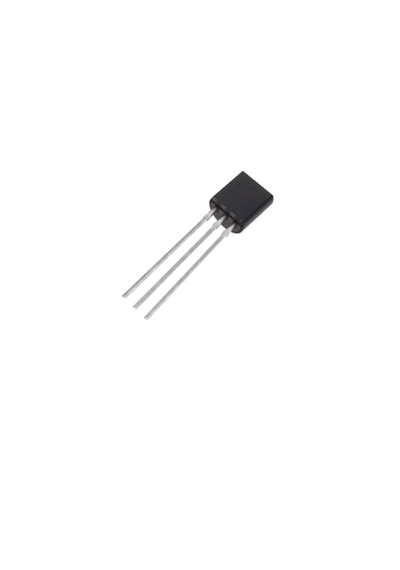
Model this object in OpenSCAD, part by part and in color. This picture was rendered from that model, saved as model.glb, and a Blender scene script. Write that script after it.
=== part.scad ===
// Small-signal transistor in the round-backed three-lead plastic package, lying on its round back.
// Working frame of the modules below: X to the right as one looks at the flat with the leads down,
// Y to the rear, Z up along the body, origin on the axis of the round back at the body's underside.
// The module lying() then lays the whole part down: back edge and lead tips on the surface, flat up.

/* [Moulded body] */
// Diameter of the round back, which is the body's width
body_d = 4.64; // [4.45:0.01:5.2]
// Height of the body along the leads
body_h = 4.86; // [4.32:0.02:5.32]
// Distance from the round back's axis to the flat
flat_y = 0.94; // [0.88:0.02:1.3]
// Radius of the body's moulded edges
edge_r = 0.08; // [0.04:0.01:0.14]
// How far the rear half reaches below the front half at the parting line
step_drop = 0.16; // [0.1:0.01:0.24]
// Rise of the front half's underside from the parting line to the flat
land_rise = 0.1; // [0.04:0.01:0.2]
// Width of the groove along the parting line
groove_w = 0.08; // [0.05:0.01:0.12]
// Depth of the parting groove above the front half's underside
groove_h = 0.12; // [0.05:0.01:0.2]

/* [Lead exits] */
// Width of the lip left standing in front of each lead
lip_w = 0.62; // [0.5:0.02:0.8]
// Height of the lip's lower edge above the rear half's underside
lip_z = 0.07; // [0.02:0.01:0.14]
// Radius of the funnel in front of each lead, at its mouth
funnel_r = 0.36; // [0.3:0.01:0.42]
// Radius of the funnel at its top
funnel_top_r = 0.26; // [0.2:0.01:0.3]
// Height of the funnel's top above the rear half's underside
funnel_h = 0.5; // [0.35:0.01:0.7]

/* [Leads] */
// Distance between neighbouring leads where they leave the body
pitch = 1.27; // [1.2:0.01:1.34]
// Sideways place of the middle lead in the body
lead_x = 0.09; // [-0.1:0.01:0.12]
// Distance from the round back's axis forward to the middle of the lead's thickness
lead_y = 0.2; // [0:0.01:0.22]
// Thickness of the bare lead strip
strip_t = 0.36; // [0.34:0.01:0.4]
// Thickness of the tin coat on the leads outside the body
coat_t = 0.01; // [0.005:0.005:0.015]
// Width of a lead's leg, coat included
lead_w = 0.42; // [0.38:0.01:0.46]
// Radius of a leg's coated corners
corner_r = 0.09; // [0.04:0.01:0.14]
// Length of the leads below the body
lead_len = 13.27; // [12.7:0.01:14.5]
// Width of a bare lead at its shoulder and stem
stem_w = 0.48; // [0.46:0.01:0.54]
// Length of the shoulder below the body
shoulder_len = 1.75; // [1.5:0.05:2.2]
// Length of the taper from shoulder to leg
taper_len = 0.2; // [0.1:0.01:0.3]
// Depth below the body of the cut tie-bar stubs' middle
stub_z = 1.45; // [1.2:0.05:1.5]
// Height of a cut tie-bar stub
stub_h = 0.44; // [0.3:0.01:0.5]
// How far a cut tie-bar stub stands out from the shoulder
stub_out = 0.05; // [0.02:0.01:0.08]

/* [Lead set] */
// How far the tips stand back from the lead plane
tip_lean = 0.9; // [0.3:0.05:1.2]
// How far the middle tip stands to the right of its root
tip_sway = 0.51; // [0:0.01:0.51]
// Extra distance between neighbouring tips
tip_spread = 0.28; // [0:0.01:0.3]
// Depth below the body at which the leads bend and their tin coat starts
bend_z = 0.08; // [0.08:0.01:0.2]

/* [Lead frame inside the body] */
// Width of the die pad
pad_w = 1.6; // [1.3:0.05:1.7]
// Height of the die pad
pad_h = 1.6; // [1.3:0.05:1.9]
// Height of the die pad's lower edge above the body's underside
pad_z = 2.15; // [2:0.05:2.3]
// How far the pad reaches past its own lead's outer side
pad_out = 0.2; // [0.1:0.01:0.25]
// Width of the base lead's bond head
base_head_w = 0.84; // [0.7:0.02:0.9]
// Height of the bond heads
head_h = 0.6; // [0.5:0.02:0.7]
// Height of the base lead's top above the body's underside
base_top = 1.62; // [1.4:0.02:1.7]
// Height of the emitter lead's top above the body's underside
emitter_top = 3.1; // [2.8:0.05:3.6]
// How far the emitter lead's bond head reaches towards the pad
emitter_reach = 0.56; // [0.4:0.02:0.6]
// Height of the middle of the lock notches above the body's underside
notch_z = 0.82; // [0.75:0.01:0.85]
// Depth of a lock notch, whose height is four times as much
notch_d = 0.1; // [0.05:0.01:0.14]

/* [Chip and wires] */
// Side of the square chip
die_w = 0.42; // [0.3:0.01:0.5]
// Thickness of the chip
die_t = 0.18; // [0.12:0.01:0.2]
// Side of the square layer under the chip
attach_w = 0.52; // [0.5:0.01:0.6]
// Thickness of the layer under the chip
attach_t = 0.02; // [0.01:0.005:0.03]
// Diameter of a bond wire
wire_d = 0.025; // [0.02:0.001:0.03]
// Height of a wire's loop above the chip
loop_h = 0.15; // [0.1:0.01:0.16]
// Distance between the two bond places on the chip
bond_gap = 0.2; // [0.14:0.01:0.22]
// Diameter of the ball at a wire's first bond
ball_d = 0.07; // [0.05:0.005:0.08]
// Height of the ball
ball_t = 0.02; // [0.015:0.001:0.025]
// Length of the flattened stitch at a wire's second bond
stitch_len = 0.08; // [0.05:0.005:0.1]

/* [Hidden] */
$fn = 64;

back_r = body_d / 2;
reach = 2 * body_d;
// The mould parts at the front face of the lead strip
parting_y = -lead_y - strip_t / 2;
strip_back_y = -lead_y + strip_t / 2;
lead_t = strip_t + 2 * coat_t;
shoulder_w = stem_w + 2 * coat_t;
// Stem and leg lap into each other at the bend by this much
root_lap = 0.03;
land_front_z = step_drop + land_rise;

// Lead places, and how far each tip stands to the side of its root: collector, base, emitter
lead_at = [lead_x - pitch, lead_x, lead_x + pitch];
tip_side = [tip_sway - tip_spread, tip_sway, tip_sway + tip_spread];

// Each leg is turned at its root, about a level axis, until it points at its tip
function root(i) = [lead_at[i], -lead_y, -bend_z];
function tip(i) = [lead_at[i] + tip_side[i], tip_lean - lead_y, -lead_len];
function leg_len(i) = norm(tip(i) - root(i));
function bend_axis(i) = [tip_lean, -tip_side[i], 0] / norm([tip_lean, tip_side[i]]);
function bend_angle(i) = acos((lead_len - bend_z) / leg_len(i));

// A direction of the straight lead, turned as the leg is turned at its root
function turned(v, i) =
    let (k = bend_axis(i), a = bend_angle(i))
    v * cos(a) + cross(k, v) * sin(a) + k * (k * v) * (1 - cos(a));

// How far a leg's end face reaches from its middle along a direction
function tip_extent(i, n) =
    let (across = abs(n * turned([1, 0, 0], i)), through = abs(n * turned([0, 1, 0], i)))
    across * (lead_w / 2 - corner_r) + through * (lead_t / 2 - corner_r)
    + corner_r * norm([across, through]);

// Tilt at which the back's lower edge and the tips touch the surface together
function tip_tilt(i) =
    let (heel = tip(i) + turned([0, lead_t / 2, 0], i),
         along = edge_r - heel[2], above = back_r - edge_r - heel[1])
    atan2(above, along) + asin(edge_r / norm([along, above]));
tilt = min([for (i = [0:2]) tip_tilt(i)]);
up = [0, -cos(tilt), sin(tilt)];
ahead = [0, sin(tilt), cos(tilt)];
side = [1, 0, 0];

// The surface lies under the lowest point, and the origin under the middle of the lying part
back_low = up * [0, back_r - edge_r, edge_r] - edge_r;
low = min([back_low, for (i = [0:2]) up * tip(i) - tip_extent(i, up)]);
far_end = ahead * [0, back_r - edge_r, body_h - edge_r] + edge_r;
near_end = min([for (i = [0:2]) ahead * tip(i) - tip_extent(i, ahead)]);
right_end = max([back_r, for (i = [0:2]) tip(i)[0] + tip_extent(i, side)]);
left_end = min([-back_r, for (i = [0:2]) tip(i)[0] - tip_extent(i, side)]);

module lying()
{
    translate([-(left_end + right_end) / 2, -(near_end + far_end) / 2, -low])
        rotate([tilt - 90, 0, 0])
            children();
}

// Moulded body

// Corner where the flat meets the round back, outside its radius
module plan_corner_cut()
{
    mid_y = edge_r - flat_y;
    mid_x = sqrt(pow(back_r - edge_r, 2) - mid_y * mid_y);
    out = 1 + 2 * edge_r / (back_r - edge_r);
    difference()
    {
        polygon([[mid_x, mid_y], [mid_x, -flat_y - edge_r],
                 [mid_x * out, -flat_y - edge_r], [mid_x * out, mid_y * out]]);
        translate([mid_x, mid_y])
            circle(r = edge_r);
    }
}

// Outline of the body seen along the leads
module plan_outline()
{
    difference()
    {
        circle(r = back_r, $fn = 128);
        translate([-reach / 2, -flat_y - reach])
            square(reach);
        plan_corner_cut();
        mirror([1, 0])
            plan_corner_cut();
    }
}

// Outline of the body seen from the side: Y across, Z up
module side_outline()
{
    polygon([[-flat_y, body_h], [-flat_y, land_front_z], [parting_y, step_drop],
             [parting_y, 0], [back_r, 0], [back_r, body_h]]);
}

// Sweeps a Y-Z outline across the body
module across_body(width = reach)
{
    rotate([90, 0, 90])
        translate([0, 0, -width / 2])
            linear_extrude(width)
                children();
}

// What a radius takes off a square edge whose corner is at the origin, body towards -X and -Y
module edge_cut()
{
    difference()
    {
        translate([-edge_r, -edge_r])
            square(2 * edge_r);
        translate([-edge_r, -edge_r])
            circle(r = edge_r);
    }
}

module body_edge_cuts()
{
    // Round back, top and bottom
    translate([0, 0, body_h])
        rotate_extrude($fn = 128)
            translate([back_r, 0])
                edge_cut();
    rotate_extrude($fn = 128)
        translate([back_r, 0])
            mirror([0, 1])
                edge_cut();
    // Top edge of the flat
    across_body()
        translate([-flat_y, body_h])
            mirror([1, 0])
                edge_cut();
}

module lead_lip(x)
{
    translate([x - lip_w / 2, -flat_y, lip_z])
        cube([lip_w, flat_y + parting_y, land_front_z]);
}

// Half funnel that opens in front of a lead
module lead_funnel(x)
{
    drop = 0.1;
    slope = (funnel_r - funnel_top_r) / funnel_h;
    intersection()
    {
        translate([x, parting_y, -drop])
            cylinder(h = funnel_h + drop, r1 = funnel_r + slope * drop, r2 = funnel_top_r);
        translate([x - lip_w, parting_y - lip_w, -2 * drop])
            cube([2 * lip_w, lip_w, funnel_h + 4 * drop]);
    }
}

module body_blank()
{
    difference()
    {
        intersection()
        {
            linear_extrude(body_h)
                plan_outline();
            across_body()
                side_outline();
        }
        body_edge_cuts();
    }
    for (x = lead_at)
        lead_lip(x);
}

module moulded_body()
{
    color("#2b2a2e")
        difference()
        {
            body_blank();
            translate([-reach / 2, parting_y - groove_w, -step_drop])
                cube([reach, groove_w, 2 * step_drop + groove_h]);
            for (x = lead_at)
                lead_funnel(x);
            lead_strip()
                collector_outline();
            lead_strip()
                base_outline();
            lead_strip()
                emitter_outline();
            die_solid();
            die_attach_solid();
            base_wire_solid();
            emitter_wire_solid();
        }
}

// Lead frame inside the body

// Gives a front-view outline the thickness of the strip
module lead_strip()
{
    translate([0, strip_back_y, 0])
        rotate([90, 0, 0])
            linear_extrude(strip_t)
                children();
}

// Stem that rises into the body, with a pair of lock notches in its sides
module stem_outline(x, top)
{
    difference()
    {
        translate([x - stem_w / 2, -bend_z - root_lap])
            square([stem_w, top + bend_z + root_lap]);
        for (s = [-1, 1])
            translate([x + s * stem_w / 2, notch_z])
                polygon([[s * notch_d, 2 * notch_d], [-s * notch_d, 0], [s * notch_d, -2 * notch_d]]);
    }
}

pad_left = lead_at[0] - stem_w / 2 - pad_out;
module collector_outline()
{
    stem_outline(lead_at[0], pad_z + pad_h / 2);
    translate([pad_left, pad_z])
        square([pad_w, pad_h]);
}

module base_outline()
{
    stem_outline(lead_at[1], base_top);
    translate([lead_at[1] - base_head_w / 2, base_top - head_h])
        square([base_head_w, head_h]);
}

module emitter_outline()
{
    stem_outline(lead_at[2], emitter_top);
    translate([lead_at[2] - stem_w / 2 - emitter_reach, emitter_top - head_h])
        square([stem_w + emitter_reach, head_h]);
}

// Leads outside the body

// Section of a lead with its plated corners
module lead_section(w)
{
    flat_w = w - 2 * corner_r;
    flat_t = lead_t - 2 * corner_r;
    square([w, flat_t], center = true);
    square([flat_w, lead_t], center = true);
    for (sx = [-1, 1])
        for (sy = [-1, 1])
            translate([sx * flat_w / 2, sy * flat_t / 2])
                circle(r = corner_r, $fn = 32);
}

// Straight leg, run along -Z from its root: shoulder, taper, leg and cut stubs
module leg(len)
{
    translate([0, 0, -len])
        linear_extrude(len + root_lap)
            lead_section(lead_w);
    intersection()
    {
        translate([0, 0, -shoulder_len - taper_len])
            linear_extrude(shoulder_len + taper_len + root_lap)
                lead_section(shoulder_w);
        rotate([90, 0, 0])
            translate([0, 0, -lead_t])
                linear_extrude(2 * lead_t)
                    polygon([[-shoulder_w, root_lap * 2], [-shoulder_w / 2, -shoulder_len],
                             [-lead_w / 2 + corner_r, -shoulder_len - taper_len],
                             [lead_w / 2 - corner_r, -shoulder_len - taper_len],
                             [shoulder_w / 2, -shoulder_len], [shoulder_w, root_lap * 2]]);
    }
    stub_t = lead_t - 2 * corner_r;
    translate([-shoulder_w / 2 - stub_out, -stub_t / 2, -stub_z - stub_h / 2])
        cube([shoulder_w + 2 * stub_out, stub_t, stub_h]);
}

module outer_lead(i)
{
    translate(root(i))
        rotate(a = bend_angle(i), v = bend_axis(i))
            leg(leg_len(i));
}

module collector_lead()
{
    color("#c9cbcc")
    {
        lead_strip()
            collector_outline();
        outer_lead(0);
    }
}

module base_lead()
{
    color("#c9cbcc")
    {
        lead_strip()
            base_outline();
        outer_lead(1);
    }
}

module emitter_lead()
{
    color("#c9cbcc")
    {
        lead_strip()
            emitter_outline();
        outer_lead(2);
    }
}

// Chip, and the layer that fastens it to the pad
die_mid = [pad_left + pad_w / 2, pad_z + pad_h / 2];
die_front = parting_y - attach_t - die_t;

module square_on_pad(w, t)
{
    translate([die_mid[0] - w / 2, -t, die_mid[1] - w / 2])
        cube([w, t, w]);
}

module die_attach_solid()
{
    translate([0, parting_y, 0])
        square_on_pad(attach_w, attach_t);
}

module die_solid()
{
    translate([0, parting_y - attach_t, 0])
        square_on_pad(die_w, die_t);
}

// Bond wires. A wire lies in an upright plane over the strip: along runs from the chip to the
// second bond, and height is measured from the strip's front face.
wire_sides = 8;
wire_steps = 20;
// Share of the run at which the loop starts to fall
loop_lean = 0.45;
// The curve's crest lies at this share of the height of its handles
crest = 3 / 4;
// Share of the stitch over which the wire flattens, and its width at the cut end
stitch_neck = 0.4;
stitch_cut = 0.8;
// A ring's flat side faces the strip, so its middle lies this share of its half height above it
ring_flat = cos(180 / wire_sides);
stitch_half_w = wire_d;
stitch_half_t = wire_d / 5;
chip_h = attach_t + die_t;

// Point at share t of a cubic curve
function curve_point(p, t) =
    p[0] * pow(1 - t, 3) + 3 * p[1] * pow(1 - t, 2) * t + 3 * p[2] * (1 - t) * t * t + p[3] * pow(t, 3);
// Rings of a wire: along, height, half width, half height, slope of the path there
function wire_rings(span) =
    let (r = wire_d / 2, start = chip_h + ball_t / 2, rise = (loop_h - ball_t / 2) / crest,
         land = span - stitch_len, hover = r * ring_flat,
         p = [[0, start], [0, start + rise], [land * loop_lean, start + rise], [land, hover]])
    concat(
        [for (k = [0:wire_steps])
            let (t = k / wire_steps, a = curve_point(p, t),
                 b = curve_point(p, max(t - 0.01, 0)), c = curve_point(p, min(t + 0.01, 1)))
            [a[0], a[1], r, r, k == wire_steps ? 0 : atan2(c[1] - b[1], c[0] - b[0])]],
        [[land + stitch_len * stitch_neck, stitch_half_t * ring_flat, stitch_half_w, stitch_half_t, 0],
         [span, stitch_half_t * ring_flat, stitch_half_w * stitch_cut, stitch_half_t, 0]]);

// Tube through the rings, in a frame of along, height and side
module wire_tube(span)
{
    rings = wire_rings(span);
    last = len(rings) - 1;
    points = [for (g = rings)
        for (j = [0:wire_sides - 1])
            let (a = 360 * (j + 0.5) / wire_sides, u = g[3] * sin(a), v = g[2] * cos(a))
            [g[0] - u * sin(g[4]), v, g[1] + u * cos(g[4])]];
    function at(k, j) = k * wire_sides + j % wire_sides;
    walls = [for (k = [0:last - 1])
        for (j = [0:wire_sides - 1])
            each [[at(k, j), at(k + 1, j), at(k, j + 1)], [at(k, j + 1), at(k + 1, j), at(k + 1, j + 1)]]];
    start_cap = [for (j = [0:wire_sides - 1]) at(0, j)];
    end_cap = [for (j = [wire_sides - 1:-1:0]) at(last, j)];
    polyhedron(points, concat([start_cap, end_cap], walls));
}

// Wire from one place on the chip to one on a bond head, both given in the front view
module bond_wire(from, to)
{
    run = to - from;
    translate([from[0], parting_y, from[1]])
        rotate([0, -atan2(run[1], run[0]), 0])
            rotate([90, 0, 0])
            {
                wire_tube(norm(run));
                translate([0, 0, chip_h])
                    cylinder(h = ball_t, d = ball_d, $fn = wire_sides);
            }
}

base_bond = [die_mid[0] + bond_gap / 2, die_mid[1] - bond_gap / 2];
emitter_bond = [die_mid[0] + bond_gap / 2, die_mid[1] + bond_gap / 2];
base_post = [lead_at[1] - base_head_w / 4, base_top - head_h / 2];
emitter_post = [lead_at[2] - stem_w / 2 - emitter_reach / 2, emitter_top - head_h / 2];

module base_wire_solid()
{
    bond_wire(base_bond, base_post);
}

module emitter_wire_solid()
{
    bond_wire(emitter_bond, emitter_post);
}

module die()
{
    color("#5c6470")
        die_solid();
}

module die_attach()
{
    color("#b8b4a8")
        die_attach_solid();
}

module base_wire()
{
    color("#d8b04a")
        base_wire_solid();
}

module emitter_wire()
{
    color("#d8b04a")
        emitter_wire_solid();
}

lying() moulded_body();
lying() collector_lead();
lying() base_lead();
lying() emitter_lead();
lying() die();
lying() die_attach();
lying() base_wire();
lying() emitter_wire();
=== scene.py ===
import math

import bmesh
import bpy
import numpy as np
from mathutils import Matrix, Quaternion, Vector, noise


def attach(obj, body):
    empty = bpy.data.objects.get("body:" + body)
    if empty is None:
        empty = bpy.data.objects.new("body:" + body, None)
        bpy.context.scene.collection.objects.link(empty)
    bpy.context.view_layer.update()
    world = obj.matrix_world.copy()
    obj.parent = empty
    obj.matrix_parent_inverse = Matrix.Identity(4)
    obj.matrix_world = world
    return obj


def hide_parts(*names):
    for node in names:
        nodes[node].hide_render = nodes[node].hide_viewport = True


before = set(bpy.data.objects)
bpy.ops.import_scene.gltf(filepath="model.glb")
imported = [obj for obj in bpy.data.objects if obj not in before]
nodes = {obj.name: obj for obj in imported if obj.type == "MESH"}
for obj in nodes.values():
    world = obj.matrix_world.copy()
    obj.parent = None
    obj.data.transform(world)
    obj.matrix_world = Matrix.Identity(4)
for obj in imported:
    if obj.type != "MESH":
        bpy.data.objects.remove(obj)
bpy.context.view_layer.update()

MM = 0.001

# Sizes of the part in millimetres, in the package's own axes: X right as one looks at the flat with
# the leads down, Y to the rear, Z up, origin on the round back's axis at the body's underside.
BACK_R = 2.32
BODY_H = 4.86
FLAT_Y = 0.94
EDGE_R = 0.08
STEP_DROP = 0.16
LAND_RISE = 0.1
GROOVE_W = 0.08
GROOVE_H = 0.12
LIP_W = 0.62
LIP_Z = 0.07
FUNNEL_R = 0.36
FUNNEL_TOP_R = 0.26
FUNNEL_H = 0.5
PITCH = 1.27
LEAD_X = 0.09
LEAD_Y = 0.2
STRIP_T = 0.36
COAT_T = 0.01
LEAD_W = 0.42
CORNER_R = 0.09
LEAD_LEN = 13.27
STEM_W = 0.48
SHOULDER_LEN = 1.75
TAPER_LEN = 0.2
STUB_Z = 1.45
STUB_H = 0.44
STUB_OUT = 0.05
TIP_LEAN = 0.9
TIP_SWAY = 0.51
TIP_SPREAD = 0.28
BEND_Z = 0.08
PAD_W = 1.6
PAD_H = 1.6
PAD_Z = 2.15
PAD_OUT = 0.2
BASE_HEAD_W = 0.84
HEAD_H = 0.6
BASE_TOP = 1.62
EMITTER_TOP = 3.1
EMITTER_REACH = 0.56
NOTCH_Z = 0.82
NOTCH_D = 0.1

PARTING_Y = -LEAD_Y - STRIP_T / 2
STRIP_BACK_Y = -LEAD_Y + STRIP_T / 2
LEAD_T = STRIP_T + 2 * COAT_T
LAND_FRONT_Z = STEP_DROP + LAND_RISE
GROOVE_TOP_Z = STEP_DROP + GROOVE_H
FLAT_HALF_W = math.sqrt(BACK_R ** 2 - FLAT_Y ** 2)
STUB_LOW = STUB_Z - STUB_H / 2
STUB_HIGH = STUB_Z + STUB_H / 2

# The three leads in order: collector, base, emitter
LEADS = range(3)
LEAD_AT = (LEAD_X - PITCH, LEAD_X, LEAD_X + PITCH)
TIP_SIDE = (TIP_SWAY - TIP_SPREAD, TIP_SWAY, TIP_SWAY + TIP_SPREAD)

# The package's own directions
RIGHT = np.array((1.0, 0, 0))
REARWARD = np.array((0, 1.0, 0))
DOWN = np.array((0, 0, -1.0))


def unit(v):
    return v / np.linalg.norm(v)


def root(i):
    return np.array((LEAD_AT[i], -LEAD_Y, -BEND_Z))


def tip(i):
    return np.array((LEAD_AT[i] + TIP_SIDE[i], TIP_LEAN - LEAD_Y, -LEAD_LEN))


def leg_len(i):
    return np.linalg.norm(tip(i) - root(i))


def turned(v, i):
    """A direction of the straight lead, turned about a level axis as the leg is turned at its root."""
    level = unit(np.array((TIP_LEAN, -TIP_SIDE[i], 0)))
    angle = math.acos((LEAD_LEN - BEND_Z) / leg_len(i))
    return (v * math.cos(angle) + np.cross(level, v) * math.sin(angle)
            + level * (level @ v) * (1 - math.cos(angle)))


# How the part lies, worked out as in the CAD: on the back's lower edge and a lead's tip
def tip_extent(i, direction):
    """How far a leg's end face reaches from its middle along a direction."""
    across = abs(direction @ turned(RIGHT, i))
    through = abs(direction @ turned(REARWARD, i))
    flat_part = across * (LEAD_W / 2 - CORNER_R) + through * (LEAD_T / 2 - CORNER_R)
    return flat_part + CORNER_R * math.hypot(across, through)


def tip_tilt(i):
    """Tilt at which the back's lower edge and a lead's tip touch the surface together."""
    heel = tip(i) + turned(REARWARD, i) * LEAD_T / 2
    along = EDGE_R - heel[2]
    above = BACK_R - EDGE_R - heel[1]
    return math.atan2(above, along) + math.asin(EDGE_R / math.hypot(along, above))


TILT = min(tip_tilt(i) for i in LEADS)
AHEAD = np.array((0, math.sin(TILT), math.cos(TILT)))
UP = np.array((0, -math.cos(TILT), math.sin(TILT)))
LIE_AXES = np.array((RIGHT, AHEAD, UP))


def lie_offset():
    """The lying part's middle in plan and its lowest level, before it is moved onto the origin."""
    low_edge = np.array((0, BACK_R - EDGE_R, EDGE_R))
    far_edge = np.array((0, BACK_R - EDGE_R, BODY_H - EDGE_R))
    low = min(UP @ low_edge - EDGE_R, *(UP @ tip(i) - tip_extent(i, UP) for i in LEADS))
    near = min(AHEAD @ tip(i) - tip_extent(i, AHEAD) for i in LEADS)
    far = AHEAD @ far_edge + EDGE_R
    left = min(-BACK_R, *(tip(i)[0] - tip_extent(i, RIGHT) for i in LEADS))
    right = max(BACK_R, *(tip(i)[0] + tip_extent(i, RIGHT) for i in LEADS))
    return np.array(((left + right) / 2, (near + far) / 2, low))


LIE_OFFSET = lie_offset()


def row_points(points):
    """Package millimetres to the row frame's metres."""
    return (np.asarray(points, float) @ LIE_AXES.T - LIE_OFFSET) * MM


def package_points(points):
    """The row frame's metres to package millimetres."""
    return (np.asarray(points, float) / MM + LIE_OFFSET) @ LIE_AXES


# Camera, its place, aim, roll and focal length from a perspective fit of the photograph
IMAGE_HEIGHT_PX = 570
SENSOR_MM = 36.0
FOCAL_PX = 588.41
CAMERA_MM = Vector((17.9376, -26.5395, 51.1149))
CAMERA_AIM_MM = Vector((3.6554, -3.4701, 2.0))
CAMERA_ROLL = math.radians(13.7071)
CLIP_START_M = 0.001
CLIP_END_M = 10.0


def make_camera():
    data = bpy.data.cameras.new("camera")
    data.sensor_fit = "VERTICAL"
    data.sensor_height = SENSOR_MM
    data.lens = FOCAL_PX * SENSOR_MM / IMAGE_HEIGHT_PX
    data.clip_start = CLIP_START_M
    data.clip_end = CLIP_END_M
    obj = bpy.data.objects.new("camera", data)
    level = (CAMERA_AIM_MM - CAMERA_MM).to_track_quat("-Z", "Y")
    rolled = level @ Quaternion((0, 0, 1), CAMERA_ROLL)
    obj.matrix_world = Matrix.Translation(CAMERA_MM * MM) @ rolled.to_matrix().to_4x4()
    bpy.context.scene.collection.objects.link(obj)
    bpy.context.scene.camera = obj


# Places of the colour mix node's sockets, which share their names with its other kinds' sockets
MIX_FACTOR = 0
MIX_A = 6
MIX_B = 7
MIX_RESULT = 2


class Graph:
    """Short calls for one material's nodes."""

    def __init__(self, tree):
        self.tree = tree
        tree.nodes.clear()

    def add(self, kind, inputs=None, **settings):
        node = self.tree.nodes.new(kind)
        for name, value in settings.items():
            setattr(node, name, value)
        for name, value in (inputs or {}).items():
            self.put(node.inputs[name], value)
        return node

    def put(self, socket, value):
        """Links a socket or sets its value, a colour being three numbers."""
        if isinstance(value, bpy.types.NodeSocket):
            self.tree.links.new(value, socket)
        elif socket.type == "RGBA":
            socket.default_value = (*value, 1.0)
        else:
            socket.default_value = value

    def math(self, operation, a, b=0.0, c=0.0):
        node = self.add("ShaderNodeMath", {0: a, 1: b, 2: c}, operation=operation)
        return node.outputs[0]

    def times(self, first, *others):
        """Product of several values."""
        product = first
        for other in others:
            product = self.math("MULTIPLY", product, other)
        return product

    def larger(self, a, b):
        return self.math("MAXIMUM", a, b)

    def absolute(self, value):
        return self.math("ABSOLUTE", value)

    def noise(self, at, scale, detail=2.0, roughness=0.5):
        node = self.add("ShaderNodeTexNoise",
                        {"Vector": at, "Scale": scale, "Detail": detail, "Roughness": roughness})
        return node.outputs["Fac"]

    def span(self, value, low, high, out_low=0.0, out_high=1.0):
        """Carries a range of the value evenly to another range, and stops at its ends."""
        node = self.add("ShaderNodeMapRange", {"Value": value, "From Min": low, "From Max": high,
                                               "To Min": out_low, "To Max": out_high})
        return node.outputs["Result"]

    def mix(self, factor, a, b):
        node = self.add("ShaderNodeMix", data_type="RGBA")
        self.put(node.inputs[MIX_FACTOR], factor)
        self.put(node.inputs[MIX_A], a)
        self.put(node.inputs[MIX_B], b)
        return node.outputs[MIX_RESULT]

    def scaled(self, colour, by):
        node = self.add("ShaderNodeVectorMath", {0: colour, "Scale": by}, operation="SCALE")
        return node.outputs[0]

    def millimetres(self, stretch=(1.0, 1.0, 1.0)):
        """Place in the row frame, in millimetres."""
        place = self.add("ShaderNodeTexCoord").outputs["Object"]
        scale = tuple(v / MM for v in stretch)
        return self.add("ShaderNodeMapping", {"Vector": place, "Scale": scale}).outputs["Vector"]

    def package(self):
        """Place in the package's own axes, in millimetres, as three sockets."""
        place = self.add("ShaderNodeTexCoord").outputs["Object"]
        turn = math.pi / 2 - TILT
        c, s = math.cos(turn), math.sin(turn)
        x, y, z = LIE_OFFSET
        node = self.add("ShaderNodeMapping",
                        {"Vector": place, "Scale": (1 / MM,) * 3, "Rotation": (turn, 0, 0),
                         "Location": (x, y * c - z * s, y * s + z * c)})
        return self.add("ShaderNodeSeparateXYZ", {0: node.outputs[0]}).outputs

    def attribute(self, name):
        return self.add("ShaderNodeAttribute", attribute_name=name).outputs["Fac"]

    def surface(self, colour, roughness, height, strength, depth_mm):
        """A surface shader with fine relief."""
        relief = self.add("ShaderNodeBump",
                          {"Height": height, "Strength": strength, "Distance": depth_mm * MM})
        return self.add("ShaderNodeBsdfPrincipled",
                        {"Base Color": colour, "Roughness": roughness, "Normal": relief.outputs[0]})


def new_material(name):
    material = bpy.data.materials.new(name)
    material.use_nodes = True
    return material, Graph(material.node_tree)


def finish_material(graph, shader):
    out = graph.add("ShaderNodeOutputMaterial")
    graph.tree.links.new(shader.outputs[0], out.inputs["Surface"])


def set_material(obj, material):
    obj.data.materials.clear()
    obj.data.materials.append(material)


# Most of a noise's values lie in these ranges
NOISE_CORE = (0.35, 0.65)
NOISE_MIDDLE = (0.32, 0.68)
NOISE_BULK = (0.3, 0.7)

# Moulding compound: the colours of its finishes, and of the light and shade painted on it
MATT_DARK = (0.067, 0.060, 0.062)
MATT_PALE = (0.092, 0.083, 0.086)
LAND_PAINTED_LIGHT = (0.108, 0.100, 0.110)
UNDERSIDE_PAINTED_LIGHT = (0.128, 0.105, 0.115)
PAINTED_LEAD_SHADOW = (0.016, 0.010, 0.012)
FLAT_DARK = (0.0225, 0.0195, 0.0310)
FLAT_PALE = (0.0265, 0.0230, 0.0340)
FLAT_TOP = (0.0315, 0.0295, 0.0275)
FLAT_LEFT_PAINTED_LIGHT = (0.0415, 0.038, 0.0415)
FLAT_EDGE_GREY = (0.062, 0.057, 0.056)
PAINTED_EDGE_SHADE = (0.006, 0.005, 0.007)
SHADE = (0.024, 0.018, 0.023)

# Each fade runs from where a finish, painted light and shade among them, is absent to where it is
# whole, in package millimetres
LIP_SIDE_FADE = (LIP_W / 2 + 0.03, LIP_W / 2 - 0.01)
FLAT_LOW_FADE = (LAND_FRONT_Z + 0.01, LAND_FRONT_Z + 0.1)
FLAT_FRONT_FADE = (-FLAT_Y + 0.03, -FLAT_Y + 0.012)
UNDER_LIP_REAR_FADE = (PARTING_Y - FUNNEL_R + 0.06, PARTING_Y - FUNNEL_R)
UNDER_LIP_TOP_FADE = (LAND_FRONT_Z + 0.12, LAND_FRONT_Z + 0.06)
LAND_REAR_FADE = (PARTING_Y - 0.06, PARTING_Y - 0.12)
LAND_TOP_FADE = (0.45, 0.35)
UNDERSIDE_FADE = (0.03, 0.01)
LEAD_SHADOW_SIDE_FADE = (0.40, 0.31)
LEAD_SHADOW_REAR_FADE = (0.75, 0.25)
FLAT_TOP_FADE = (2.6, BODY_H)
FLAT_LEFT_LIGHT_FADE = (2.2, -2.2)
EDGE_GREY_LEFT_FADE = (-1.3, -2.1)
EDGE_GREY_TOP_FADE = (4.25, 4.7)
EDGE_SHADE_FADE = (0.25, 0.12)
FUNNEL_FADE = (FUNNEL_R + 0.08, FUNNEL_R + 0.03)
FUNNEL_REAR_FADE = (0.01, -0.01)
FUNNEL_LOW_FADE = (0.08, 0.11)
FUNNEL_TOP_FADE = (FUNNEL_H + 0.1, FUNNEL_H + 0.05)
GROOVE_SIDE_FADE = (GROOVE_W / 2 + 0.10, GROOVE_W / 2 + 0.06)
GROOVE_LOW_FADE = (0.0, 0.03)
GROOVE_TOP_FADE = (GROOVE_TOP_Z + 0.02, GROOVE_TOP_Z)

# How strongly each finish, painted light and shade among them, covers what lies under it, where it is
# whole
UNDERSIDE_LIGHT_COVER = 0.5
LEAD_SHADOW_COVER = 0.7
FLAT_LEFT_LIGHT_COVER = 0.6
EDGE_GREY_LEFT_COVER = 0.5
EDGE_GREY_TOP_COVER = 0.45
EDGE_SHADE_COVER = 0.92


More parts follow.
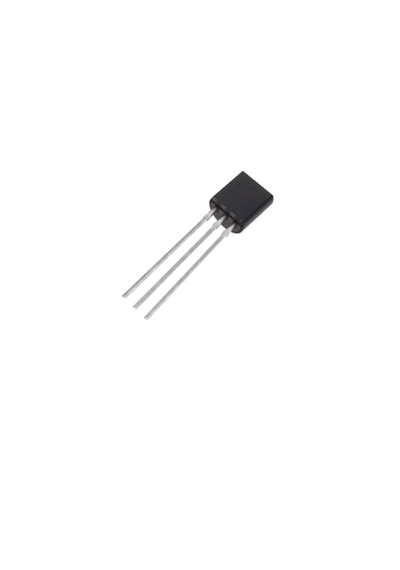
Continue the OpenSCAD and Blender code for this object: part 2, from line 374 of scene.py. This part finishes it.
def smooth_part(g, y, z, beside):
    """1 on the flat and the lips, which came off a smoother mould face than the matt rest."""
    lip = g.span(beside, *LIP_SIDE_FADE)
    flat = g.times(g.larger(lip, g.span(z, *FLAT_LOW_FADE)), g.span(y, *FLAT_FRONT_FADE))
    under_lip = g.times(g.span(y, *UNDER_LIP_REAR_FADE), lip, g.span(z, *UNDER_LIP_TOP_FADE))
    return g.larger(flat, under_lip)


def matt_colour(g, at, y, z, beside):
    """Specked grey, with painted light making the lands and the underside paler, and painted shadows of
    the leads behind them.
    """
    speck = g.noise(at, scale=9.0, detail=3.0, roughness=0.7)
    colour = g.mix(g.span(speck, *NOISE_CORE), MATT_DARK, MATT_PALE)
    # The lands and the underside are painted paler: painted light on these downward faces
    land = g.times(g.span(y, *LAND_REAR_FADE), g.span(z, *LAND_TOP_FADE))
    colour = g.mix(land, colour, LAND_PAINTED_LIGHT)
    underside = g.span(z, *UNDERSIDE_FADE)
    colour = g.mix(g.times(underside, UNDERSIDE_LIGHT_COVER), colour, UNDERSIDE_PAINTED_LIGHT)
    # Painted shadow of each lead, cast on the underside behind it
    lead_shadow = g.times(g.span(beside, *LEAD_SHADOW_SIDE_FADE), g.span(y, *LEAD_SHADOW_REAR_FADE), underside)
    return g.mix(g.times(lead_shadow, LEAD_SHADOW_COVER), colour, PAINTED_LEAD_SHADOW)


def smooth_colour(g, at, x, z):
    """Cloudy blue-black, browner towards the top, with painted light making it greyer to the left, and
    greyer near its left and top edges.
    """
    cloud = g.noise(at, scale=0.5)
    colour = g.mix(g.span(cloud, *NOISE_CORE), FLAT_DARK, FLAT_PALE)
    colour = g.mix(g.span(z, *FLAT_TOP_FADE), colour, FLAT_TOP)
    # Painted light, falling off from the left across the flat
    colour = g.mix(g.span(x, *FLAT_LEFT_LIGHT_FADE, out_high=FLAT_LEFT_LIGHT_COVER), colour, FLAT_LEFT_PAINTED_LIGHT)
    # Greyer near the flat's left and top edges
    edge_grey = g.larger(g.span(x, *EDGE_GREY_LEFT_FADE, out_high=EDGE_GREY_LEFT_COVER),
                       g.span(z, *EDGE_GREY_TOP_FADE, out_high=EDGE_GREY_TOP_COVER))
    colour = g.mix(edge_grey, colour, FLAT_EDGE_GREY)
    mottle = g.noise(at, scale=2.4, detail=4.0, roughness=0.7)
    return g.scaled(colour, g.span(mottle, *NOISE_MIDDLE, out_low=0.86, out_high=1.14))


def shaded_part(g, y, z, near):
    """1 in the half funnels round the leads and along the groove, which stay dark."""
    ahead = g.math("SUBTRACT", y, PARTING_Y)
    off_lead = g.math("SQRT", g.math("ADD", g.times(near, near), g.times(ahead, ahead)))
    funnel = g.times(g.span(off_lead, *FUNNEL_FADE), g.span(ahead, *FUNNEL_REAR_FADE),
                     g.span(z, *FUNNEL_LOW_FADE), g.span(z, *FUNNEL_TOP_FADE))
    off_groove = g.absolute(g.math("ADD", ahead, GROOVE_W / 2))
    groove = g.times(g.span(off_groove, *GROOVE_SIDE_FADE), g.span(z, *GROOVE_LOW_FADE),
                     g.span(z, *GROOVE_TOP_FADE))
    return g.larger(funnel, groove)


def moulding_material():
    material, g = new_material("moulding_compound")
    at = g.millimetres()
    x, y, z = g.package()
    near = g.math("WRAP", g.math("SUBTRACT", x, LEAD_X), PITCH / 2, -PITCH / 2)
    beside = g.absolute(near)
    colour = g.mix(smooth_part(g, y, z, beside), matt_colour(g, at, y, z, beside),
                   smooth_colour(g, at, x, z))
    # Painted shade: the moulding's outer edges are darker than the faces between them
    edge_shade = g.span(g.attribute("rim_mm"), *EDGE_SHADE_FADE, out_high=EDGE_SHADE_COVER)
    colour = g.mix(edge_shade, colour, PAINTED_EDGE_SHADE)
    colour = g.mix(shaded_part(g, y, z, near), colour, SHADE)
    grain = g.noise(at, scale=22.0, detail=3.0, roughness=0.6)
    rough = g.span(grain, *NOISE_BULK, out_low=0.5, out_high=0.64)
    shader = g.surface(colour, rough, grain, strength=0.35, depth_mm=0.004)
    shader.inputs["Specular IOR Level"].default_value = 0.1
    finish_material(g, shader)
    return material


# Tin plate: its tone, with painted shade by the body and a painted highlight on the shoulder, at depths
# below the body in millimetres
TONES_WITH_PAINTED_LIGHT = ((0.0, 0.10), (0.25, 0.16), (0.5, 0.38), (0.85, 0.57),
         (1.2, 0.58), (1.5, 0.51), (1.9, 0.44), (2.4, 0.36))
TONE_SPAN = 2.5
TIN_TINT = (1.0, 0.974, 0.982)
PAINTED_ROOT_SHADE = (0.045, 0.034, 0.037)
SHEARED_STUB = (0.22, 0.215, 0.21)
SHEARED_END = (0.58, 0.57, 0.56)
BREAKOUT = (0.04, 0.035, 0.03)

# How far each lead's stripe between its painted edge highlights, and its painted root shade, lie to the
# right of its middle
STRIPE_AT = (-0.03, 0.10, 0.02)
ROOT_AT = (0.0, 0.04, 0.07)

# The painted shade and dark body reflection on the root's sides keep this much further from the lead's
# middle for each millimetre down
ROOT_SHADE_SLOPE = 0.14
ROOT_SHADE_COVER = 0.92
ROOT_SHADE_SIDE_FADE = (0.02, 0.08)
ROOT_SHADE_DOWN_FADE = (1.4, 1.0)
EDGE_HIGHLIGHT_FADE = (0.06, 0.30)
LEG_FADE = (1.6, 2.0)
LEG_FAR_FADE = (6.0, LEAD_LEN)
STUB_FACE_FADE = (STEM_W / 2 + 0.025, STEM_W / 2 + 0.04)
END_FADE = (LEAD_LEN - 0.03, LEAD_LEN - 0.015)
BREAKOUT_LEFT_FADE = (0.0, -0.07)
BREAKOUT_FRONT_FADE = (0.12, -0.05)


def tin_tone_with_painted_light(g, depth):
    """Dark painted shade by the body, a painted highlight on the shoulder, then the leg's even grey."""
    ramp = g.add("ShaderNodeValToRGB", {"Fac": g.span(depth, 0.0, TONE_SPAN)})
    stops = ramp.color_ramp.elements
    while len(stops) < len(TONES_WITH_PAINTED_LIGHT):
        stops.new(0.5)
    for stop, (place, tone) in zip(stops, TONES_WITH_PAINTED_LIGHT):
        stop.position = place / TONE_SPAN
        stop.color = (*(tone * tint for tint in TIN_TINT), 1.0)
    return ramp.outputs["Color"]


def tin_material():
    material, g = new_material("tin_plate")
    depth = g.attribute("depth_mm")
    across = g.attribute("across_mm")
    through = g.attribute("through_mm")
    cloud = g.noise(g.millimetres(), scale=1.6)
    colour = g.scaled(tin_tone_with_painted_light(g, depth), g.span(cloud, *NOISE_BULK, out_low=0.88, out_high=1.1))
    # Painted shade and dark reflection of the body along the sides of the root, to a point further down
    off_root = g.math("SUBTRACT", g.absolute(g.attribute("root_mm")), g.times(depth, ROOT_SHADE_SLOPE))
    root_shade = g.times(g.span(off_root, *ROOT_SHADE_SIDE_FADE), g.span(depth, *ROOT_SHADE_DOWN_FADE))
    colour = g.mix(g.times(root_shade, ROOT_SHADE_COVER), colour, PAINTED_ROOT_SHADE)
    # Painted highlights make the leg's edges lighter than the stripe that runs along its face, and the
    # whole leg is a little darker towards its end
    edge_highlight = g.span(g.absolute(g.attribute("stripe_mm")), *EDGE_HIGHLIGHT_FADE, out_low=1.0, out_high=1.45)
    highlight_gain = g.times(edge_highlight, g.span(depth, *LEG_FAR_FADE, out_low=1.0, out_high=0.86))
    colour = g.mix(g.span(depth, *LEG_FADE), colour, g.scaled(colour, highlight_gain))
    # Sheared metal on the stubs, and on the ends with a dark breakout at one corner
    stub_face = g.span(g.absolute(across), *STUB_FACE_FADE)
    colour = g.mix(stub_face, colour, SHEARED_STUB)
    end = g.span(depth, *END_FADE)
    breakout = g.times(g.span(across, *BREAKOUT_LEFT_FADE), g.span(through, *BREAKOUT_FRONT_FADE))
    colour = g.mix(end, colour, g.mix(breakout, SHEARED_END, BREAKOUT))
    # Drawing marks run along the lead, and sheared parts and those under the painted root shade are
    # duller
    streak = g.noise(g.millimetres(stretch=(1.0, 0.18, 1.0)), scale=6.0, detail=3.0, roughness=0.55)
    dull = g.larger(g.larger(stub_face, end), root_shade)
    rough = g.math("ADD", g.span(streak, *NOISE_BULK, out_low=0.22, out_high=0.34), g.times(dull, 0.3))
    shader = g.surface(colour, rough, streak, strength=0.4, depth_mm=0.01)
    shader.inputs["Metallic"].default_value = 1.0
    finish_material(g, shader)
    return material


def plain_material(name, colour_a, colour_b, scale, rough_low, rough_high, metallic):
    """Mottled finish for the small pieces cast in the body."""
    material, g = new_material(name)
    mottle = g.noise(g.millimetres(), scale, detail=3.0, roughness=0.6)
    colour = g.mix(g.span(mottle, *NOISE_CORE), colour_a, colour_b)
    rough = g.span(mottle, *NOISE_BULK, out_low=rough_low, out_high=rough_high)
    shader = g.surface(colour, rough, mottle, strength=0.3, depth_mm=0.001)
    shader.inputs["Metallic"].default_value = metallic
    finish_material(g, shader)
    return material


# Moulded body: roundings, the flash on the parting line, and the slots that the stems leave through
SMALL_R = 0.03
PARTING_EDGE_R = 0.015
FLASH_H = 0.008
FLASH_W = 0.03
FRONT_LAP = 0.01
SLOT_TOP = 0.6
SLOT_GAP = 0.008

# The distance to an edge with painted shade is multiplied by its share, so that a small share makes a
# wide shaded rim
RIGHT_RIM = 0.42
RIGHT_RIM_ON_FLAT = 1.2
LEFT_RIM = 1.9
TOP_RIM = 1.6
UNDER_RIM = 0.6
ON_FLAT = 0.02
NO_RIM = 1.0

# Grid on which the body's surface is found, along X, Y and Z: its ends, and its line spacing by the
# form's edges and away from them
GRID_LOW = (-2.40, -1.02, -0.093)
GRID_HIGH = (2.40, 2.40, 4.94)
FINE = (0.026, 0.024, 0.026)
COARSE = (0.1, 0.1, 0.12)
GRID_GROWTH = 0.22

# The found points are moved onto the surface in a few passes of limited steps
PASSES = 4
LARGEST_MOVE = 0.02
LEAST_SQUARE_SLOPE = 0.25
SLOPE_STEP = 0.002
TINY = 1e-6


def round_and(a, b, r):
    """Distance to what two forms share, with its edge rounded to radius r."""
    return np.minimum(np.maximum(a, b), -r) + np.hypot(np.maximum(a + r, 0), np.maximum(b + r, 0))


def round_or(a, b, r):
    """Distance to two forms together, with the corner between them rounded to radius r."""
    return np.maximum(np.minimum(a, b), r) - np.hypot(np.maximum(r - a, 0), np.maximum(r - b, 0))


def front_underside(x, y, z):
    """Distance to the front half's sloping lands and the lips that stand below them at the leads."""
    slope = LAND_RISE / (FLAT_Y + PARTING_Y)
    under = (STEP_DROP + slope * (PARTING_Y - y) - z) / math.hypot(1, slope)
    for at in LEAD_AT:
        lip = round_and(np.abs(x - at) - LIP_W / 2, LIP_Z - z, SMALL_R)
        under = round_or(under, lip, SMALL_R)
    return under


def openings(x, y, z):
    """Distance to the groove along the parting line and to each lead's half funnel and slot."""
    groove_y = PARTING_Y - GROOVE_W / 2
    cut = np.maximum(np.abs(y - groove_y) - GROOVE_W / 2, z - STEP_DROP - GROOVE_H)
    radius = FUNNEL_R - (FUNNEL_R - FUNNEL_TOP_R) * z / FUNNEL_H
    for at in LEAD_AT:
        funnel = np.maximum(np.hypot(x - at, y - PARTING_Y) - radius,
                            np.maximum(z - FUNNEL_H, y - PARTING_Y))
        slot = np.maximum(np.maximum(np.abs(x - at) - STEM_W / 2, z - SLOT_TOP),
                          np.maximum(PARTING_Y - y, y - STRIP_BACK_Y)) - SLOT_GAP
        cut = np.minimum(cut, np.minimum(funnel, slot))
    return cut


def body_distance(p):
    """Signed distance to the moulding's surface, negative inside, in package millimetres."""
    x, y, z = p[..., 0], p[..., 1], p[..., 2]
    plan = round_and(np.hypot(x, y) - BACK_R, -y - FLAT_Y, EDGE_R)
    flash = FLASH_H * np.exp(-((y - PARTING_Y) / FLASH_W) ** 2)
    side = round_and(plan, z - BODY_H, EDGE_R) - flash
    rear = round_and(round_and(side, -z, EDGE_R), PARTING_Y - y, PARTING_EDGE_R)
    front = round_and(side, front_underside(x, y, z), SMALL_R)
    front = np.maximum(front, y - PARTING_Y - FRONT_LAP)
    return round_and(np.minimum(rear, front), -openings(x, y, z), PARTING_EDGE_R)


def graded(low, high, marks, fine, coarse):
    """Grid lines that lie closer together near the marks."""
    lines = [low]
    while lines[-1] < high:
        away = min(abs(lines[-1] - mark) for mark in marks)
        lines.append(lines[-1] + min(coarse, fine + GRID_GROWTH * away))
    return np.array(lines)


def grid_edges(values, points, axis, trim):
    """Both ends of each grid edge along one axis, as (values, values, points, points)."""
    low = [trim] * 3
    high = [trim] * 3
    low[axis], high[axis] = slice(0, -1), slice(1, None)
    low, high = tuple(low), tuple(high)
    return values[low], values[high], points[low], points[high]


def cell_points(values, points, cells):
    """Mean place of the surface's crossings on each cell's edges, and how many crossings it has."""
    total = np.zeros(cells + (3,))
    count = np.zeros(cells)
    for axis in range(3):
        others = [i for i in range(3) if i != axis]
        low_v, high_v, low_p, high_p = grid_edges(values, points, axis, slice(None))
        hit = (low_v < 0) != (high_v < 0)
        share = np.where(hit, low_v / np.where(hit, low_v - high_v, 1), 0)
        cross = (low_p + (high_p - low_p) * share[..., None]) * hit[..., None]
        for shift in ((0, 0), (0, 1), (1, 0), (1, 1)):
            part = [slice(None)] * 3
            for i, v in zip(others, shift):
                part[i] = slice(v, values.shape[i] - 1 + v)
            total += cross[tuple(part)]
            count += hit[tuple(part)]
    return total / np.maximum(count, 1)[..., None], count


def surface_net(distance, lines):
    """Quads over the zero surface of a distance, one vertex in each grid cell that it crosses."""
    points = np.stack(np.meshgrid(*lines, indexing="ij"), -1)
    values = distance(points)
    cells = tuple(n - 1 for n in values.shape)
    middle, count = cell_points(values, points, cells)
    used = count > 0
    index = np.full(cells, -1)
    index[used] = np.arange(used.sum())
    quads = []
    for axis in range(3):
        others = [i for i in range(3) if i != axis]
        low_v, high_v, _, _ = grid_edges(values, points, axis, slice(1, -1))
        hit = (low_v < 0) != (high_v < 0)
        base = np.argwhere(hit)
        base[:, others] += 1
        ring = []
        for shift in ((1, 1), (0, 1), (0, 0), (1, 0)):
            cell = base.copy()
            cell[:, others] -= shift
            ring.append(index[tuple(cell.T)])
        quad = np.stack(ring, 1)
        outward = (low_v[hit] < 0) != (axis == 1)
        quad[~outward] = quad[~outward, ::-1]
        quads.append(quad)
    return middle[used], np.concatenate(quads)


def slope_of(distance, points):
    slopes = np.empty_like(points)
    for axis in range(3):
        shift = np.zeros(3)
        shift[axis] = SLOPE_STEP
        slopes[:, axis] = (distance(points + shift) - distance(points - shift)) / (2 * SLOPE_STEP)
    return slopes


def onto_surface(distance, points):
    """Points moved along the slope onto the zero surface of a distance."""
    for _ in range(PASSES):
        slopes = slope_of(distance, points)
        move = distance(points) / np.maximum((slopes ** 2).sum(1), LEAST_SQUARE_SLOPE)
        points = points - slopes * np.clip(move, -LARGEST_MOVE, LARGEST_MOVE)[:, None]
    return points


def body_lines():
    """Grid lines along X, Y and Z, closer together near the form's edges."""
    half_widths = (STEM_W / 2, LIP_W / 2, FUNNEL_R)
    marks = (
        [at + side * half for at in LEAD_AT for side in (-1, 1) for half in half_widths]
        + [-BACK_R, BACK_R, -FLAT_HALF_W, FLAT_HALF_W],
        [-FLAT_Y, PARTING_Y - GROOVE_W, PARTING_Y, STRIP_BACK_Y, BACK_R],
        [0, LIP_Z, STEP_DROP, GROOVE_TOP_Z, FUNNEL_H, SLOT_TOP, BODY_H],
    )
    return [graded(*limits) for limits in zip(GRID_LOW, GRID_HIGH, marks, FINE, COARSE)]


def rim_distance(points):
    """Distance to the moulding's edges that carry painted shade, each multiplied by its share."""
    x, y, z = points.T
    off_back = np.hypot(x, y) - BACK_R
    off_front = y + FLAT_Y
    right_share = np.where(off_front < ON_FLAT, RIGHT_RIM_ON_FLAT, RIGHT_RIM)
    rim = np.where(y > PARTING_Y, np.hypot(off_back, z) * UNDER_RIM, NO_RIM)
    for off, along, share in ((x - FLAT_HALF_W, off_front, right_share),
                              (x + FLAT_HALF_W, off_front, LEFT_RIM),
                              (z - BODY_H, off_front, TOP_RIM),
                              (z - BODY_H, off_back, TOP_RIM)):
        rim = np.minimum(rim, np.hypot(off, along) * share)
    return rim


def new_object(name, points, faces, material):
    mesh = bpy.data.meshes.new(name)
    mesh.from_pydata([tuple(p) for p in points], [], [tuple(int(i) for i in f) for f in faces])
    mesh.update()
    obj = bpy.data.objects.new(name, mesh)
    bpy.context.scene.collection.objects.link(obj)
    set_material(obj, material)
    return obj


def smooth_faces(mesh):
    mesh.polygons.foreach_set("use_smooth", [True] * len(mesh.polygons))


def point_values(mesh, name, values):
    mesh.attributes.new(name, "FLOAT", "POINT").data.foreach_set("value", values)


def make_body(material):
    points, quads = surface_net(body_distance, body_lines())
    points = onto_surface(body_distance, points)
    obj = new_object("body_moulding", row_points(points), quads, material)
    slopes = slope_of(body_distance, points)
    slopes /= np.maximum(np.linalg.norm(slopes, axis=1), TINY)[:, None]
    smooth_faces(obj.data)
    obj.data.normals_split_custom_set_from_vertices([tuple(n) for n in slopes @ LIE_AXES.T])
    point_values(obj.data, "rim_mm", rim_distance(points))
    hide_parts("moulded_body")
    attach(obj, "root")


# Leads: how far the swept part reaches into the body, where the flat frame inside begins, how far
# the swept faces wander, and how far the sheared end's edges are rolled over
STEM_TOP = 0.35
FRAME_FROM = 0.2
WAVE_MM = 0.005
ROLLOVER = 0.03

# The swept stem is slightly smaller inside the flat frame that it joins
NECK_FROM = -0.25
NECK_TO = -0.2
NECK_IN = 0.01

# Depths below the root over which the lead bends, takes its coat, rounds its corners and starts to
# wander
BEND_FADE = (-0.03, 0.03)
COAT_FADE = (-0.01, 0.03)
CORNER_FADE = (-0.02, 0.2)
WAVE_FADE = (0.1, 0.4)
STEM_CORNER_R = 0.02

# The wandering's pace across and along a lead, and how far apart the leads take theirs
WAVE_ACROSS = 4
WAVE_ALONG = 1.4
WAVE_APART = 7

# The sweep's rings: their depths by the root, how near a step its own rings stand, how far from it
# the even ones begin, and how many even ones each stretch has
ROOT_RINGS = (NECK_TO, -0.1, -0.06, -0.03, 0.0, 0.02, 0.04)
STEP_NEAR = 0.01
STEP_FAR = 0.03
CLEAR = 0.1
BELOW_TAPER = 0.08
STEM_RINGS = 16
STUB_RINGS = 4
TAPER_RINGS = 5
LEG_RINGS = 130

# Points of a section: on each corner's arc, and at shares of its wide and its narrow sides
CORNERS = ((1, 1), (-1, 1), (-1, -1), (1, -1))
ARC_POINTS = 5
WIDE_SHARES = (0.2, 0.4, 0.6, 0.8)
NARROW_SHARES = (0.06, 0.14, 0.35, 0.65, 0.86, 0.94)
STUB_SHARES = (0.1, 0.9)

SHARP_ANGLE = math.radians(50)


def section_ring():
    """Points round a rounded rectangle: corner number, angle on its arc, share along the next side."""
    ring = []
    for corner in range(4):
        start = 90 * corner
        for k in range(ARC_POINTS):
            ring.append((corner, math.radians(start + 90 * k / (ARC_POINTS - 1)), 0.0))
        for share in (WIDE_SHARES, NARROW_SHARES)[corner % 2]:
            ring.append((corner, math.radians(start + 90), share))
    return ring


RING = section_ring()


def section(half_w, half_t, corner_r, stub):
    """Rounded rectangle, with a cut stub standing out of the middle of each narrow side."""
    points = []
    for corner, angle, share in RING:
        sx, sy = CORNERS[corner]
        u = sx * (half_w - corner_r) + corner_r * math.cos(angle)
        v = sy * (half_t - corner_r) + corner_r * math.sin(angle)
        if share > 0:
            nx, ny = CORNERS[(corner + 1) % 4]
            u += share * (nx - sx) * (half_w - corner_r)
            v += share * (ny - sy) * (half_t - corner_r)
            if corner % 2 == 1 and STUB_SHARES[0] < share < STUB_SHARES[1]:
                u += math.copysign(stub, u)
        points.append((u, v))
    return points


def smooth_step(value, low, high):
    t = min(max((value - low) / (high - low), 0), 1)
    return t * t * (3 - 2 * t)


def ring_depths(length):
    """Places of the rings along a lead: distance below its root, negative inside the body."""
    taper_end = SHOULDER_LEN + TAPER_LEN
    depths = [-STEM_TOP - BEND_Z, NECK_FROM, *ROOT_RINGS]
    depths += list(np.linspace(CLEAR, STUB_LOW - STEP_FAR, STEM_RINGS))
    depths += [STUB_LOW - STEP_NEAR, STUB_LOW + STEP_NEAR, STUB_LOW + STEP_FAR]
    depths += list(np.linspace(STUB_LOW + CLEAR, STUB_HIGH - CLEAR, STUB_RINGS))
    depths += [STUB_HIGH - STEP_FAR, STUB_HIGH - STEP_NEAR, STUB_HIGH + STEP_NEAR, STUB_HIGH + STEP_FAR]
    depths += list(np.linspace(SHOULDER_LEN, taper_end, TAPER_RINGS))
    depths += list(np.linspace(taper_end + BELOW_TAPER, length - CLEAR, LEG_RINGS))
    depths += [length - 2 * ROLLOVER, length - ROLLOVER, length - ROLLOVER / 3, length]
    return depths


def ring_sizes(d):
    """A lead's half width, half thickness, corner radius and stub at a depth below its root."""
    coat = COAT_T * smooth_step(d, *COAT_FADE)
    taper = smooth_step(d, SHOULDER_LEN, SHOULDER_LEN + TAPER_LEN)
    neck = NECK_IN * (1 - smooth_step(d, NECK_FROM, NECK_TO))
    half_w = (STEM_W / 2 + coat) * (1 - taper) + LEAD_W / 2 * taper - neck
    half_t = STRIP_T / 2 + coat - neck
    corner_r = STEM_CORNER_R + (CORNER_R - STEM_CORNER_R) * smooth_step(d, *CORNER_FADE)
    stub = STUB_OUT if STUB_LOW < d < STUB_HIGH else 0.0
    return half_w, half_t, corner_r, stub


def rolled_in(d, length):
    """How far the section has shrunk towards the sheared end, on a quarter circle."""
    share = max(d - length + ROLLOVER, 0) / ROLLOVER
    return ROLLOVER * (1 - math.sqrt(max(1 - share ** 2, 0)))


def sweep_lead(i):
    """Points and faces of a lead's stem and leg, with its round corners, stubs and rolled-over end."""
    length = leg_len(i)
    depths = ring_depths(length)
    points = []
    for d in depths:
        bent = smooth_step(d, *BEND_FADE)
        a, b = [unit(v + (turned(v, i) - v) * bent) for v in (RIGHT, REARWARD)]
        middle = root(i) + (turned(DOWN, i) if d > 0 else DOWN) * d
        half_w, half_t, corner_r, stub = ring_sizes(d)
        roll = rolled_in(d, length)
        wave = WAVE_MM * smooth_step(d, *WAVE_FADE)
        along = d * WAVE_ALONG + WAVE_APART * i
        for u, v in section(half_w - roll, half_t - roll, corner_r - roll / 2, stub):
            bulge = wave * noise.noise(Vector((u * WAVE_ACROSS, v * WAVE_ACROSS, along)))
            out = unit(np.array((u / half_w, v / half_t))) * bulge
            points.append(middle + a * (u + out[0]) + b * (v + out[1]))
    n = len(RING)
    last = len(depths) - 1
    faces = [[k * n + j, k * n + (j + 1) % n, (k + 1) * n + (j + 1) % n, (k + 1) * n + j]
             for k in range(last) for j in range(n)]
    faces.append(list(range(n))[::-1])
    faces.append([last * n + j for j in range(n)])
    return np.array(points), faces


def stem_side(at, side):
    """Notched side of a stem inside the body, from its bottom up, to the right (1) or left (-1)."""
    edge = at + side * STEM_W / 2
    return [(edge, FRAME_FROM), (edge, NOTCH_Z - NOTCH_D), (edge - side * NOTCH_D, NOTCH_Z),
            (edge, NOTCH_Z + NOTCH_D)]


def collector_pad(at):
    """The pad that carries the chip, from its stem's right side round to the left side."""
    left = at - STEM_W / 2 - PAD_OUT
    right = left + PAD_W
    top = PAD_Z + PAD_H
    return [(at + STEM_W / 2, PAD_Z), (right, PAD_Z), (right, top), (left, top), (left, PAD_Z),
            (at - STEM_W / 2, PAD_Z)]


def base_head(at):
    """The base lead's bond head, from its stem's right side round to the left side."""
    low = BASE_TOP - HEAD_H
    left, right = at - BASE_HEAD_W / 2, at + BASE_HEAD_W / 2
    return [(at + STEM_W / 2, low), (right, low), (right, BASE_TOP), (left, BASE_TOP), (left, low),
            (at - STEM_W / 2, low)]


def emitter_head(at):
    """The emitter lead's bond head, from its stem's right side round to the left side."""
    low = EMITTER_TOP - HEAD_H
    left = at - STEM_W / 2 - EMITTER_REACH
    return [(at + STEM_W / 2, EMITTER_TOP), (left, EMITTER_TOP), (left, low), (at - STEM_W / 2, low)]


def frame_outline(i):
    """Front-view outline of the strip inside the body, anticlockwise."""
    at = LEAD_AT[i]
    head = (collector_pad, base_head, emitter_head)[i]
    return stem_side(at, 1) + head(at) + stem_side(at, -1)[::-1]


def prism(outline, y_front, y_back):
    n = len(outline)
    points = [(x, y, z) for y in (y_front, y_back) for x, z in outline]
    faces = [list(range(n)), list(range(2 * n - 1, n - 1, -1))]
    faces += [[j, j + n, (j + 1) % n + n, (j + 1) % n] for j in range(n)]
    return np.array(points), faces


def turn_outward(obj):
    """Turns every face outward."""
    bm = bmesh.new()
    bm.from_mesh(obj.data)
    bmesh.ops.recalc_face_normals(bm, faces=bm.faces)
    bm.to_mesh(obj.data)
    bm.free()


def join_solids(obj, other):
    """Makes one closed solid of two that overlap."""
    change = obj.modifiers.new("join", "BOOLEAN")
    change.operation = "UNION"
    change.solver = "EXACT"
    change.object = other
    shape = bpy.data.meshes.new_from_object(obj.evaluated_get(bpy.context.evaluated_depsgraph_get()))
    obj.modifiers.clear()
    old = obj.data
    obj.data = shape
    bpy.data.meshes.remove(old)
    bpy.data.objects.remove(other)


def tell_material(mesh, i):
    """Gives each point its place on the lead in millimetres, which the tin's looks follow."""
    place = np.empty(len(mesh.vertices) * 3)
    mesh.vertices.foreach_get("co", place)
    x, y, z = package_points(place.reshape(-1, 3)).T
    down = np.maximum(-z - BEND_Z, 0) / (LEAD_LEN - BEND_Z)
    across = x - LEAD_AT[i] - down * TIP_SIDE[i]
    point_values(mesh, "depth_mm", -z)
    point_values(mesh, "across_mm", across)
    point_values(mesh, "stripe_mm", across - STRIPE_AT[i])
    point_values(mesh, "root_mm", across - ROOT_AT[i])
    point_values(mesh, "through_mm", y + LEAD_Y - down * TIP_LEAN)


def make_lead(i, name, node, material):
    points, faces = sweep_lead(i)
    obj = new_object(name, row_points(points), faces, material)
    inner_points, inner_faces = prism(frame_outline(i), PARTING_Y, STRIP_BACK_Y)
    inner = new_object(name + "_inner", row_points(inner_points), inner_faces, material)
    turn_outward(obj)
    turn_outward(inner)
    bpy.context.view_layer.update()
    join_solids(obj, inner)
    obj.data.name = name
    tell_material(obj.data, i)
    smooth_faces(obj.data)
    obj.data.set_sharp_from_angle(angle=SHARP_ANGLE)
    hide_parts(node)
    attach(obj, "root")


# Light and floor
WHITE = (1, 1, 1)
FLOOR_GREY = (0.7, 0.7, 0.7)
FLOOR_GLOW = 0.6
FLOOR_SIZE_M = 2.0
ROOM_LEVEL = 0.5
BACKGROUND_LEVEL = 1.0
LAMP_AWAY_MM = 140
LAMP_AIM_MM = Vector((0, 4, 2))


def background_rays(g):
    """1 on the rays that show the background: the camera's, and what metal and glass mirror."""
    path = g.add("ShaderNodeLightPath")
    seen = g.larger(path.outputs["Is Camera Ray"], path.outputs["Is Glossy Ray"])
    return g.larger(seen, path.outputs["Is Transmission Ray"])


def make_world():
    world = bpy.data.worlds.new("studio")
    bpy.context.scene.world = world
    world.use_nodes = True
    g = Graph(world.node_tree)
    strength = g.span(background_rays(g), 0.0, 1.0, ROOM_LEVEL, BACKGROUND_LEVEL)
    back = g.add("ShaderNodeBackground", {"Color": WHITE, "Strength": strength})
    out = g.add("ShaderNodeOutputWorld")
    g.tree.links.new(back.outputs[0], out.inputs["Surface"])


def make_floor():
    bpy.ops.mesh.primitive_plane_add(size=FLOOR_SIZE_M, location=(0, 0, 0))
    floor = bpy.context.active_object
    floor.name = "floor"
    material, g = new_material("floor_white")
    diffuse = g.add("ShaderNodeBsdfDiffuse", {"Color": FLOOR_GREY})
    glow = g.add("ShaderNodeEmission",
                 {"Color": WHITE, "Strength": g.times(background_rays(g), FLOOR_GLOW)})
    finish_material(g, g.add("ShaderNodeAddShader", {0: diffuse.outputs[0], 1: glow.outputs[0]}))
    set_material(floor, material)


def area_lamp(name, direction, size_mm, level):
    """A square lamp, its level the share of white at which it lights a white surface that faces it."""
    data = bpy.data.lights.new(name, "AREA")
    data.energy = level * (math.pi * LAMP_AWAY_MM * MM) ** 2
    data.size = size_mm * MM
    obj = bpy.data.objects.new(name, data)
    towards = Vector(direction).normalized()
    obj.location = (LAMP_AIM_MM + towards * LAMP_AWAY_MM) * MM
    obj.rotation_euler = towards.to_track_quat("Z", "Y").to_euler()
    bpy.context.scene.collection.objects.link(obj)


make_camera()
make_world()
make_floor()
area_lamp("key", direction=(0.14, -0.52, 0.84), size_mm=150, level=0.62)
area_lamp("right_fill", direction=(0.9, -0.1, 0.3), size_mm=90, level=0.28)

tin = tin_material()
make_body(moulding_material())
make_lead(0, "lead_collector", "collector_lead", tin)
make_lead(1, "lead_base", "base_lead", tin)
make_lead(2, "lead_emitter", "emitter_lead", tin)

silicon = plain_material("chip_silicon", (0.13, 0.15, 0.19), (0.17, 0.19, 0.23),
                         scale=9.0, rough_low=0.1, rough_high=0.2, metallic=0.0)
adhesive = plain_material("silver_adhesive", (0.45, 0.43, 0.4), (0.56, 0.54, 0.5),
                          scale=40.0, rough_low=0.5, rough_high=0.7, metallic=0.4)
gold = plain_material("gold_wire", (0.80, 0.56, 0.18), (0.88, 0.64, 0.24),
                      scale=60.0, rough_low=0.15, rough_high=0.25, metallic=1.0)
set_material(nodes["die"], silicon)
set_material(nodes["die_attach"], adhesive)
set_material(nodes["base_wire"], gold)
set_material(nodes["emitter_wire"], gold)

bpy.context.scene.view_settings.view_transform = "Standard"
